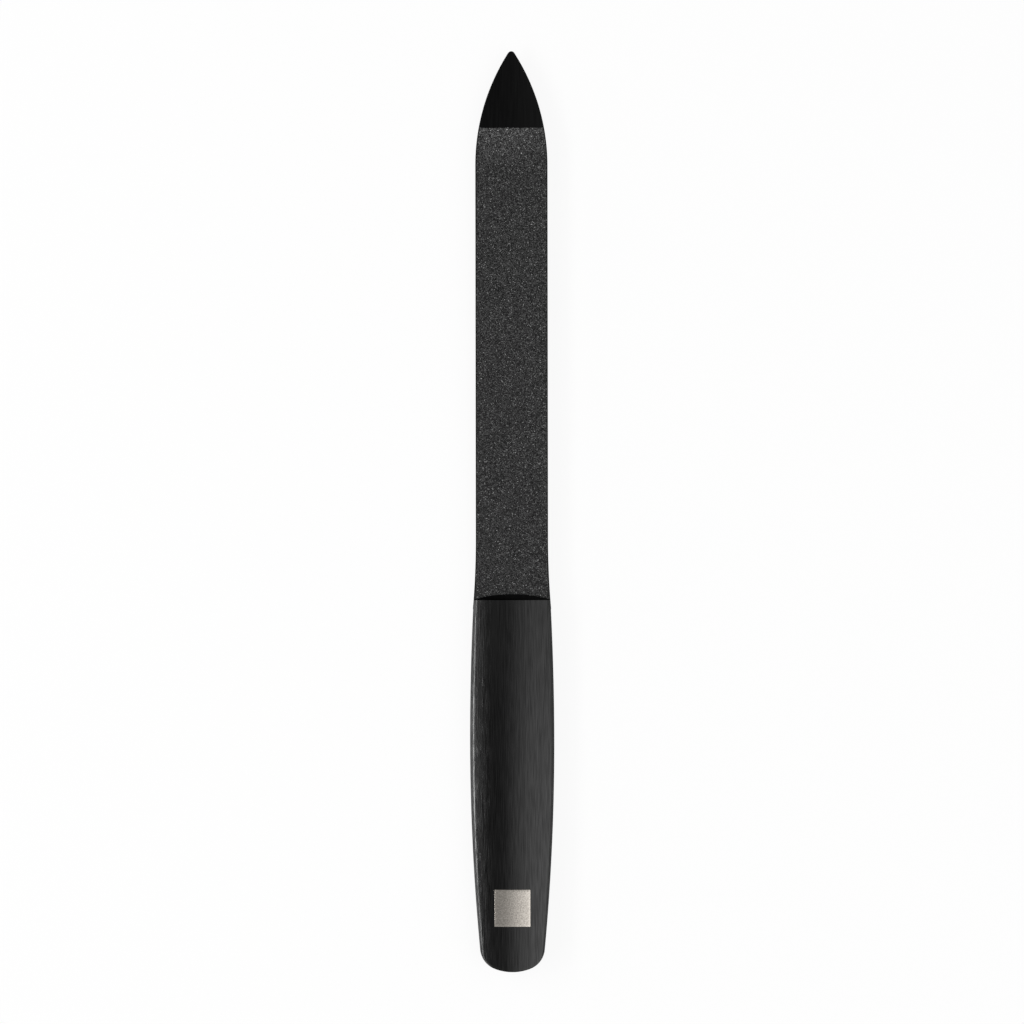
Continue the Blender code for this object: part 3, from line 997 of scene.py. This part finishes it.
def handle_side():
    """Points up the handle's right side, from beside the middle of the butt to the front lip. The
    first few steps of the butt's arc are left out, so that it is as flat there as the solid."""
    side = arc(butt_centre, BUTT_RADIUS, -math.pi / 2, to_corner, BUTT_STEPS)[FIRST_BUTT_STEP:]
    side += arc(corner_centre, BUTT_CORNER_RADIUS, to_corner, to_flank, CORNER_STEPS)[1:]
    lip_start = HANDLE_LENGTH - LIP_ROUNDING
    for end in (RECESS_REAR, RECESS_FRONT, BELLY_STATION, lip_start):
        start = side[-1].y
        steps = round((end - start) / FLANK_STEP)
        side += [Vector((flank_half_width(s), s)) for s in np.linspace(start, end, steps + 1)[1:]]
    for turn in np.linspace(0, math.pi / 2, LIP_STEPS + 1)[1:]:
        drawn_in = LIP_ROUNDING * (1 - math.cos(turn))
        station = lip_start + LIP_ROUNDING * math.sin(turn)
        side.append(Vector((flank_half_width(lip_start) - drawn_in, station)))
    return side


right_side = handle_side()
print(f"{len(right_side)} cross-sections along the handle")

# %% Dome
HANDLE_THICKNESS = 4.6 * MM
CROWN_HEIGHT = HANDLE_THICKNESS / 2
CROWN_RADIUS = 21.5 * MM


def dome_height(x):
    """The height of the plain dome."""
    return CROWN_HEIGHT - CROWN_RADIUS + np.sqrt(CROWN_RADIUS**2 - x**2)


print(f"crown {CROWN_HEIGHT / MM:.2f} mm high, crease {dome_height(belly_crease) / MM:.2f} mm high")

# %% Facets and rounded edges
FACET_SLOPE = math.radians(40)
CREASE_BREAK_SLOPE = math.radians(28)
CREASE_BREAK_DEPTH = 0.024 * MM
CREASE_ROUNDING = 0.012 * MM
FLANK_ROUNDING = (0.03 * MM, 0.05 * MM)
BUTT_ROUNDING = (0.36 * MM, 0.16 * MM)
BUTT_ROUNDING_STATIONS = (2.5 * MM, 6.5 * MM)


def smooth_min(a, b, reach):
    """The lower of two heights, rounded over where they cross."""
    overlap = np.maximum(reach - np.abs(a - b), 0)
    return np.minimum(a, b) - overlap**2 / (4 * reach)


def distance_to_outline(x, y, outline):
    """How far each point lies from the closest stretch of a closed outline."""
    closest = np.full(x.shape, np.inf)
    for start, end in zip(outline, outline[1:] + outline[:1]):
        run = end - start
        share = ((x - start.x) * run.x + (y - start.y) * run.y) / run.length_squared
        share = np.clip(share, 0, 1)
        off_x, off_y = x - start.x - share * run.x, y - start.y - share * run.y
        closest = np.minimum(closest, np.hypot(off_x, off_y))
    return closest


def face_heights(x, y, outline, top):
    """The outer face of a half: dome, facets and rounded edges, never above top."""
    crease = crease_half_width(y)
    beyond = np.abs(x) - crease
    edge_break = dome_height(crease) - CREASE_BREAK_DEPTH - beyond * math.tan(CREASE_BREAK_SLOPE)
    facet = dome_height(crease) - beyond * math.tan(FACET_SLOPE)
    face = smooth_min(np.minimum(dome_height(x), top), edge_break, CREASE_ROUNDING)
    face = smooth_min(face, facet, CREASE_ROUNDING)
    reach, drop = (
        np.interp(y, BUTT_ROUNDING_STATIONS, (at_butt, on_flank))
        for at_butt, on_flank in zip(BUTT_ROUNDING, FLANK_ROUNDING)
    )
    outside = 1 - np.clip(distance_to_outline(x, y, outline) / reach, 0, 1)
    return face - drop * (1 - np.sqrt(1 - outside**2))


dome_fall = belly_crease / math.sqrt(CROWN_RADIUS**2 - belly_crease**2)
break_fall = math.tan(CREASE_BREAK_SLOPE)
break_width = CREASE_BREAK_DEPTH / (break_fall - dome_fall)
break_width += CREASE_BREAK_DEPTH / (math.tan(FACET_SLOPE) - break_fall)
print(f"the break of the crease is {break_width / MM:.2f} mm wide on the belly")

# %% Points of a cross-section
RIM_BAND = 0.95 * MM
RIM_SHARE = 0.27
RIM_STEPS = 24
RIM_CROWDING = 1.5
SHOULDER_STEPS = 8
MIDDLE_STEPS = 18
LINE_SHARE = 0.7


def section_offsets(half_width, line):
    """Where the points of one cross-section lie, from the right flank to the left. They crowd
    towards the rims. One lies at line on each side of the middle, or closer in where the half is
    too narrow for that."""
    band = min(RIM_BAND, half_width * RIM_SHARE)
    rim = half_width - band * np.linspace(0, 1, RIM_STEPS + 1) ** RIM_CROWDING
    line = min(line, half_width * LINE_SHARE)
    shoulder = np.linspace(rim[-1], line, SHOULDER_STEPS + 1)[1:]
    middle = np.linspace(line, -line, MIDDLE_STEPS + 1)[1:]
    return np.concatenate([rim, shoulder, middle, -shoulder[-2::-1], -rim[-2::-1]])


print(f"{len(section_offsets(HANDLE_WIDTH / 2, RECESS_HALF))} points across the outer face")

# %% Loft of a half
JOINT_ROUNDING = 0.04 * MM
PARTING_GAP = 0.04 * MM


def loft_half(side, line, top):
    """One half as a closed skin over its cross-sections, with its outer face on this side."""
    outline = mirrored(right_side)
    x = np.array([section_offsets(p.x, line) for p in right_side])
    y = np.array([[p.y] * x.shape[1] for p in right_side])
    z = face_heights(x, y, outline, top)
    foot = [(JOINT_ROUNDING * (1 - math.sin(a)), JOINT_ROUNDING * (1 - math.cos(a)))
            for a in (0, math.pi / 4, math.pi / 2)]
    parting = PARTING_GAP / 2
    shape = bmesh.new()
    loops = []
    for row, p in enumerate(right_side):
        right_foot = [(p.x - drawn_in, p.y, parting + up) for drawn_in, up in foot]
        left_foot = [(-a, b, c) for a, b, c in reversed(right_foot)]
        ring = right_foot + list(zip(x[row], y[row], z[row])) + left_foot
        loops.append([shape.verts.new((a, b, side * c)) for a, b, c in ring])
    for near, far in zip(loops, loops[1:]):
        for i in range(len(near)):
            j = (i + 1) % len(near)
            shape.faces.new((near[i], near[j], far[j], far[i]))
    shape.faces.new(loops[0])
    shape.faces.new(loops[-1])
    bmesh.ops.recalc_face_normals(shape, faces=shape.faces)
    return shape


print(f"the two halves part along a joint {PARTING_GAP / MM:.2f} mm wide")

# %% [markdown]
# The front half also carries the square plate. Its recess is pressed into the dome along two
# cross-sections and two lines that were placed there for it, so no boolean is needed on the dome,
# and the faces around it stay clean. A face looks up when its normal's Z is over FACES_UP.

# %% Cutters for the recess and the tang
RECESS_DEPTH = 0.11 * MM
FACES_UP = 0.5


def press_recess(shape):
    """Sinks the square for the plate into the outer face."""
    def in_square(face):
        middle = face.calc_center_median()
        on_face = middle.z > BLADE_THICKNESS and face.normal.z > FACES_UP
        return on_face and abs(middle.x) < RECESS_HALF and RECESS_REAR < middle.y < RECESS_FRONT

    floor_faces = [f for f in shape.faces if in_square(f)]
    sunk = bmesh.ops.extrude_face_region(shape, geom=floor_faces)
    vertices = [v for v in sunk["geom"] if isinstance(v, bmesh.types.BMVert)]
    bmesh.ops.translate(shape, verts=vertices, vec=(0, 0, -RECESS_DEPTH))
    left_behind = [f for f in floor_faces if f.is_valid]
    bmesh.ops.delete(shape, geom=left_behind, context="FACES")
    bmesh.ops.recalc_face_normals(shape, faces=shape.faces)


def tang_pocket():
    """The cutter for the slit at the handle's mouth and the pocket behind it."""
    wide = HANDLE_WIDTH
    mouth_floor = SHOULDER_STATION - CLEARANCE
    mouth = [Vector((wide, mouth_floor)), Vector((wide, HANDLE_LENGTH + MOUTH_DEPTH))]
    half_height = BLADE_HALF + CLEARANCE
    return prism(mirrored(tang_points(CLEARANCE) + mouth), -half_height, half_height)


print(f"recess {2 * RECESS_HALF / MM:.2f} mm wide and {RECESS_DEPTH / MM:.2f} mm deep")

# %% Front and back halves
PIN_COVER = 0.8 * MM
BACK_LAND_WIDTH = 4.2 * MM

pin_half_length = float(dome_height(PIN_DIAMETER / 2)) - PIN_COVER - CLEARANCE
land_height = float(dome_height(BACK_LAND_WIDTH / 2))
front_shape = loft_half(1, RECESS_HALF, CROWN_HEIGHT)
press_recess(front_shape)
back_shape = loft_half(-1, BACK_LAND_WIDTH / 2, land_height)
for name, shape, replaced in (
    ("handle_front_half", front_shape, "front_handle_half"),
    ("handle_back_half", back_shape, "back_handle_half"),
):
    half = place(name, shape)
    cut(half, [tang_pocket()] + pin_bores(pin_half_length + CLEARANCE))
    finish_piece(half, brushed_black, replaced, sharp_angle=30)

# %% [markdown]
# ## The square plate
#
# On the real file a small square of bright steel is let into the butt end. It is curved like the
# dome around it and lies flush in its recess, with its rim just broken. A flat square would need
# bending, so it is a grid whose points take their height from the dome itself. It is too thin a
# piece to be a solid of the CAD part, so it is made here and rides on the part.

# %% Square plate
PLATE_STEPS = 16
PLATE_SINK = 0.004 * MM


def rim_of(grid):
    """The vertices round the edge of a square grid of them, in order."""
    last = len(grid) - 1
    return (
        [grid[0][i] for i in range(last)] + [grid[j][last] for j in range(last)]
        + [grid[last][i] for i in range(last, 0, -1)] + [grid[j][0] for j in range(last, 0, -1)]
    )


plate = bmesh.new()
half_x, half_y = PLATE_SIZE[0] / 2, PLATE_SIZE[1] / 2
layers = []
for depth in (PLATE_SINK, RECESS_DEPTH):
    layers.append([
        [plate.verts.new((px, PLATE_STATION + py, float(dome_height(px)) - depth))
         for px in np.linspace(-half_x, half_x, PLATE_STEPS + 1)]
        for py in np.linspace(-half_y, half_y, PLATE_STEPS + 1)
    ])
for grid in layers:
    for j in range(PLATE_STEPS):
        for i in range(PLATE_STEPS):
            plate.faces.new((grid[j][i], grid[j][i + 1], grid[j + 1][i + 1], grid[j + 1][i]))
upper, lower = (rim_of(grid) for grid in layers)
for i in range(len(upper)):
    j = (i + 1) % len(upper)
    plate.faces.new((upper[i], upper[j], lower[j], lower[i]))
bmesh.ops.recalc_face_normals(plate, faces=plate.faces)
print(f"square plate: {len(plate.faces)} faces before its rim is rounded")

# %% Rim of the plate
PLATE_ROUNDING = 0.012 * MM
PLATE_ROUNDING_STEPS = 3

upper_rim = set(upper)
rim_edges = [e for e in plate.edges if e.verts[0] in upper_rim and e.verts[1] in upper_rim
             and any(f.normal.z < FACES_UP for f in e.link_faces)]
bmesh.ops.bevel(
    plate, geom=rim_edges, offset=PLATE_ROUNDING, segments=PLATE_ROUNDING_STEPS,
    affect="EDGES", profile=0.5,
)
square_plate = place("square_plate", plate)
finish_piece(square_plate, satin_steel, None, sharp_angle=50)

# %% [markdown]
# ## The pins
#
# The pins are hidden inside the handle, and their CAD solids are already right, so they stay and
# only get their finish.

# %% Pins
for name in ("front_dowel_pin", "rear_dowel_pin"):
    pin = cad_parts[name]
    for material_slot in pin.material_slots:
        material_slot.material = pin_steel
    print(f"{name}: {pin_steel.name}")
